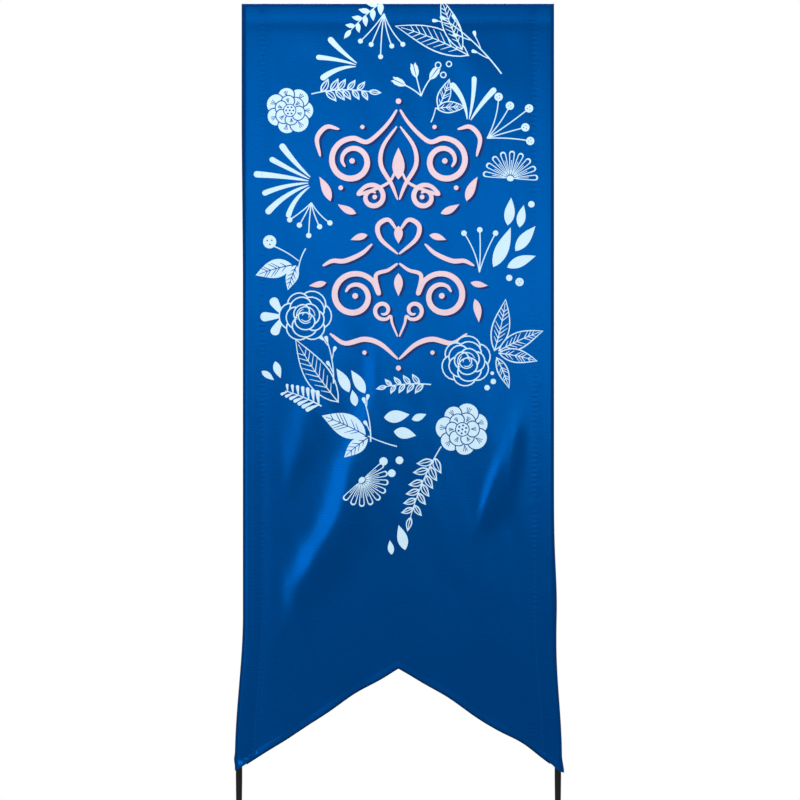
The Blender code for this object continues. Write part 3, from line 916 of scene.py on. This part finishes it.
def seam_stitches(line, pitch):
    """Places one small oval of thread for each stitch along a line of (point, outward)."""
    mesh = bmesh.new()
    size = Matrix.Diagonal((0.0013, 0.00026, 0.00018, 1.0))
    run, due = 0.0, pitch / 2
    for (a, out), (b, _) in zip(line, line[1:]):
        gap = (b - a).length
        while run + gap > due:
            at = a.lerp(b, (due - run) / gap)
            forward = (b - a).normalized()
            up = (out - forward * out.dot(forward)).normalized()
            turn = Matrix((forward, up.cross(forward), up)).transposed().to_4x4()
            bmesh.ops.create_icosphere(mesh, subdivisions=1, radius=1.0,
                                       matrix=Matrix.Translation(at) @ turn @ size)
            due += pitch
        run += gap
    return mesh


def stitched(name, lines, pitch, material):
    """One piece holding the stitches of several seams."""
    whole = bmesh.new()
    for line in lines:
        part = seam_stitches(line, pitch)
        spare = bpy.data.meshes.new("spare")
        part.to_mesh(spare)
        part.free()
        whole.from_mesh(spare)
        bpy.data.meshes.remove(spare)
    bmesh.ops.recalc_face_normals(whole, faces=whole.faces)
    mesh = bpy.data.meshes.new(name)
    whole.to_mesh(mesh)
    whole.free()
    mesh.materials.append(material)
    mesh.polygons.foreach_set("use_smooth", [True] * len(mesh.polygons))
    return placed(name, mesh)


# ---- operators
def cloth_materials():
    """The six looks of the sheet: satin, three inks, and how two of them show on the back."""
    if "polyester_satin" not in bpy.data.materials:
        banner = bpy.context.scene.banner
        dye = tuple(banner.dye)
        satin("polyester_satin", dye)
        ink("white_pigment_ink", tuple(banner.white_ink), dye)
        ink("pink_pigment_ink", tuple(banner.pink_ink), dye)
        ink("shadow_pigment_ink", tuple(banner.shade_ink), dye)
        pale = tuple(0.42 * a + 0.58 * b for a, b in zip(banner.white_ink, dye))
        rosy = tuple(0.36 * a + 0.64 * b for a, b in zip(banner.pink_ink, dye))
        ink("white_ink_seen_through", pale, dye, 0.8)
        ink("pink_ink_seen_through", rosy, dye, 0.8)
        thread("navy_polyester_thread", times(dye, 1.1))
    names = ("polyester_satin", "white_pigment_ink", "pink_pigment_ink", "shadow_pigment_ink",
             "white_ink_seen_through", "pink_ink_seen_through")
    return [bpy.data.materials[n] for n in names]


class BANNER_OT_sheet(bpy.types.Operator):
    """Cut, print and hang the front of the banner"""
    bl_idname = "banner.sheet"
    bl_label = "Printed Sheet"

    def execute(self, context):
        spots, faces, inks = lay_out(sheet_outline(), print_layers(), sheet_stations())
        area = sum(abs((spots[b] - spots[a]).cross(spots[c] - spots[a])) / 2 for a, b, c in faces)
        piece = thick_cloth("printed_sheet", [hang(*p) for p in spots],
                            [rearward(*p) for p in spots], faces, spots, cloth_materials(), inks)
        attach(piece, "banner")
        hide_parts("banner_panel")
        tall = max(p.y for p in spots) - min(p.y for p in spots)
        context.scene["banner_cut"] = [2 * flat_edge(1, TIP_Z), tall, area]
        return {"FINISHED"}


class BANNER_OT_pockets(bpy.types.Operator):
    """Fold the sides and the top back round the poles"""
    bl_idname = "banner.pockets"
    bl_label = "Pole Pockets"

    def execute(self, context):
        section = pocket_section()
        cloth = cloth_materials()[0]
        beside = RADIUS * 1.6  # room on the flat cloth between the front and a pocket's back
        lowest, clear = 0.334, 0.0006  # below both tips, and how far the back stays off the cut

        def beside_pole(side, t, inward, y, run):
            z = TIP_Z
            for _ in range(6):  # settles on the cut edge below this part of the pocket
                z = max(cut_z(side * (pole_x(z) - inward)), lowest)
            z += clear + (SLEEVE_Z - inward - z) * t
            bulge = sway(side, z) * min(1.0, max(0.0, -inward / RADIUS))
            x = side * (pole_x(z) - inward + bulge)
            return Vector((x, y + ripple(z * 41, inward), z)), (
                side * (HALF_SPACING + beside + run), z)

        def over_bar(t, inward, y, run):
            x = (HALF_SPACING - inward) * t
            return Vector((x, y + ripple(x * 47, inward), SLEEVE_Z - inward)), (
                x, SLEEVE_Z + beside + run)

        for name, side in (("left", -1), ("right", 1)):
            rows = [[beside_pole(side, t, *part) for part in section]
                    for t in steps(0.0, 1.0, 1 / 190)]
            piece = woven_strip(f"{name}_pocket_back", rows, cloth, SHEET, side > 0)
            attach(piece, "banner")
            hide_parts(f"{name}_pole_sleeve")
        rows = [[over_bar(t, *part) for part in section] for t in steps(-1.0, 1.0, 1 / 60)]
        piece = woven_strip("top_pocket_back", rows, cloth, SHEET, False)
        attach(piece, "banner")
        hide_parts("top_sleeve")
        return {"FINISHED"}


class BANNER_OT_hems(bpy.types.Operator):
    """Turn the swallow-tail edges up at the back"""
    bl_idname = "banner.hems"
    bl_label = "Notch Hems"

    def execute(self, context):
        roll, thin = 0.0011, 0.0004  # radius of the folded edge, and the fold's own thickness
        profile = [(0.0012, -0.00035), (0.0004, -thin)]
        profile += [(-roll * math.sin(a), roll * (1 - math.cos(a)) - thin)
                    for a in (math.pi * k / 8 for k in range(1, 9))]
        profile += [(rise, 2 * roll - dip) for rise, dip in (
            (0.0015, 0.0), (0.0035, 0.0), (0.0055, 0.0), (0.0072, 0.0003), (0.0084, 0.0004),
            (0.0096, 0.0), (HEM + 0.0003, 0.0))]
        # The folded edge is the dye at 0.3 of its brightness: painted shade for the shade in its
        # fold, so it shows as a darker line.
        fold_shade_satin = satin("hem_fold_painted_shade", times(context.scene.banner.dye, 0.3))
        end = TAIL_X - 0.0155  # the hem stops short of the pole

        def folded(side, t, rise, depth):
            start = -NOTCH_SLOPE * rise / NOTCH_RUN
            along = start + (end - start) * t
            u = side * (along - start)
            w = cut_z(side * max(along, 0.0)) + rise / NOTCH_RUN - NOTCH_SLOPE * min(along, 0.0)
            return hang(u, w) + rearward(u, max(w, cut_z(u) + 0.0004)) * depth, (u, w + depth)

        for name, side in (("left", -1), ("right", 1)):
            rows = [[folded(side, t, *part) for part in profile]
                    for t in steps(0.0, 1.0, 1 / 90)]
            piece = woven_strip(f"{name}_notch_hem_fold", rows, fold_shade_satin, thin, side < 0)
            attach(piece, "banner")
            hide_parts(f"{name}_notch_hem")
        return {"FINISHED"}


class BANNER_OT_stitching(bpy.types.Operator):
    """Sew the pockets and the hems"""
    bl_idname = "banner.stitching"
    bl_label = "Stitching"

    def execute(self, context):
        cloth_materials()
        sewn = bpy.data.materials["navy_polyester_thread"]
        pocket_back, hem_back = 0.0030, 0.0022  # from the front of the cloth to a seam's far side
        apart, foot = 0.004, 0.376              # points along a seam, and where side seams begin
        reach = HALF_SPACING - POCKET
        seams = [(pocket_back, [(u, SLEEVE_Z - POCKET) for u in steps(-reach, reach, apart)])]
        for side in (-1, 1):
            seams.append((pocket_back, [(side * (pole_x(w) - POCKET), w)
                                        for w in steps(foot, SLEEVE_Z - POCKET, apart)]))
            seams.append((hem_back, [
                (side * u, cut_z(side * u) + (HEM - 0.002) * NOTCH_RUN)
                for u in steps(0.0, TAIL_X - 0.012, apart)]))
        front, back = [], []
        for behind, path in seams:
            places = [(hang(*p), rearward(*p)) for p in path]
            front.append([(p - n * 0.00004, -n) for p, n in places])
            back.append([(p + n * behind, n) for p, n in places])
        for name, lines in (("front_stitching", front), ("back_stitching", back)):
            piece = stitched(name, lines, context.scene.banner.stitch, sewn)
            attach(piece, "banner")
        return {"FINISHED"}


class BANNER_OT_frame(bpy.types.Operator):
    """Finish the poles, joiners, sockets and stakes"""
    bl_idname = "banner.frame"
    bl_label = "Steel Frame"

    def execute(self, context):
        looks = context.scene.banner_frame
        coat = powder_coat("black_powder_coat", tuple(looks.coat))
        stake = powder_coat("black_powder_coat_worn", tuple(looks.coat), CAD_LOW.z)
        plastic = moulded_plastic("moulded_abs", tuple(looks.plastic))
        alloy = drawn_aluminium("drawn_aluminium", tuple(looks.alloy))
        for name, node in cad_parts.items():
            if any(word in name for word in ("elbow", "socket", "step_plate")):
                look = plastic
            elif "spigot" in name:
                look = alloy
            elif "stake" in name:
                look = stake
            else:
                look = coat
            node.data.materials.clear()
            node.data.materials.append(look)
        return {"FINISHED"}


class BANNER_OT_stage(bpy.types.Operator):
    """Set the floor, the soft lights and the camera"""
    bl_idname = "banner.stage"
    bl_label = "Stage"

    def execute(self, context):
        scene, looks = context.scene, context.scene.banner_stage
        scene.view_settings.view_transform = "Standard"
        disc_mesh = bmesh.new()
        bmesh.ops.create_circle(disc_mesh, cap_ends=True, segments=128, radius=1.55,
                                matrix=Matrix.Translation((0.0, 0.0, CAD_LOW.z)))
        mesh = bpy.data.meshes.new("floor")
        disc_mesh.to_mesh(mesh)
        disc_mesh.free()
        # Matt painted board: a plain pale floor with a faint roller texture of 6 mm.
        material, tree, shader = start_material(
            "matt_painted_board", {"Specular IOR Level": 0.2, "Roughness": 0.8})
        where = add_node(tree, "ShaderNodeTexCoord", output="Object")
        roller = add_node(tree, "ShaderNodeTexNoise", {"Vector": where, "Scale": 160.0})
        tint = tuple(looks.floor_tint)
        board = add_node(tree, "ShaderNodeMix", {
            "Factor": roller, "A": (*times(tint, 0.97), 1), "B": (*tint, 1)}, "Result",
            data_type="RGBA")
        tree.links.new(board, shader.inputs["Base Color"])
        mesh.materials.append(material)
        floor = placed("floor", mesh)

        world = scene.world or bpy.data.worlds.new("studio")
        scene.world = world
        world.use_nodes = True
        tree = world.node_tree
        tree.nodes.clear()
        sight = add_node(tree, "ShaderNodeLightPath", output="Is Camera Ray")
        dim = add_node(tree, "ShaderNodeBackground", {"Color": (1, 1, 1, 1), "Strength": 0.32})
        white = add_node(tree, "ShaderNodeBackground", {"Color": (1, 1, 1, 1), "Strength": 1.0})
        mix = add_node(tree, "ShaderNodeMixShader", {0: sight, 1: dim, 2: white})
        add_node(tree, "ShaderNodeOutputWorld", {"Surface": mix})

        lights = (  # name, place, aim, width, height, roll in degrees, watts
            ("key_softbox", (0.20, -4.0, 1.78), (0.20, 0.0, 1.78), 2.9, 1.3, -20, 33),
            ("left_strip", (-1.75, -4.0, 0.95), (-1.75, 0.0, 0.95), 0.90, 1.7, 0, 25),
            ("overhead_softbox", (0.0, -2.2, 3.9), (0.0, 0.0, 1.0), 3.2, 1.6, 0, 120),
            ("rear_softbox", (0.0, 2.6, 3.4), (0.0, 0.0, 1.0), 3.0, 1.6, 0, 90),
        )
        for name, place, aim, wide, tall, roll, watts in lights:
            lamp = bpy.data.lights.new(name, "AREA")
            lamp.shape, lamp.size, lamp.size_y, lamp.energy = "RECTANGLE", wide, tall, watts
            lamp.color = (0.85, 1.0, 0.90) if name == "key_softbox" else (1.0, 1.0, 1.0)
            holder = placed(name, lamp)
            turn = (Vector(aim) - Vector(place)).to_track_quat("-Z", "Y").to_matrix()
            turn = turn @ Matrix.Rotation(math.radians(roll), 3, "Z")
            holder.matrix_world = Matrix.Translation(place) @ turn.to_4x4()
            holder.visible_camera = False
            holder.visible_glossy = name != "overhead_softbox"  # keeps the top pocket dark

        eye = bpy.data.cameras.new("camera")
        eye.sensor_width, eye.lens = 36.0, looks.lens
        camera = placed("camera", eye)
        target = Vector((0.003, -RADIUS, 1.0590))  # on the front of the cloth, at its middle
        away = Vector((0.0, -math.cos(looks.pitch), math.sin(looks.pitch)))
        camera.location = target + away * looks.distance
        camera.rotation_mode = "QUATERNION"
        camera.rotation_quaternion = (-away).to_track_quat("-Z", "Y")
        scene.camera = camera
        return {"FINISHED"}


OPERATORS = (BANNER_OT_stage, BANNER_OT_sheet, BANNER_OT_pockets, BANNER_OT_hems,
             BANNER_OT_stitching, BANNER_OT_frame)


class BANNER_PT_panel(bpy.types.Panel):
    """Sizes, colours and steps of the banner"""
    bl_label = "Garden Banner"
    bl_idname = "BANNER_PT_panel"
    bl_space_type = "VIEW_3D"
    bl_region_type = "UI"
    bl_category = "Banner"

    def draw(self, context):
        for group in (context.scene.banner, context.scene.banner_frame, context.scene.banner_stage):
            box = self.layout.box()
            for key in group.__annotations__:
                box.prop(group, key)
        for operator in OPERATORS:
            self.layout.operator(operator.bl_idname)


GROUPS = (("banner", BannerSettings), ("banner_frame", FrameSettings),
          ("banner_stage", StageSettings))
CLASSES = tuple(group for _, group in GROUPS) + OPERATORS + (BANNER_PT_panel,)


def register():
    for item in CLASSES:
        bpy.utils.register_class(item)
    for name, group in GROUPS:
        setattr(bpy.types.Scene, name, bpy.props.PointerProperty(type=group))


def unregister():
    for name, _ in GROUPS:
        delattr(bpy.types.Scene, name)
    for item in reversed(CLASSES):
        bpy.utils.unregister_class(item)


def main():
    register()
    bpy.ops.banner.stage()
    bpy.ops.banner.sheet()
    bpy.ops.banner.pockets()
    bpy.ops.banner.hems()
    bpy.ops.banner.stitching()
    bpy.ops.banner.frame()


if __name__ == "__main__":
    main()
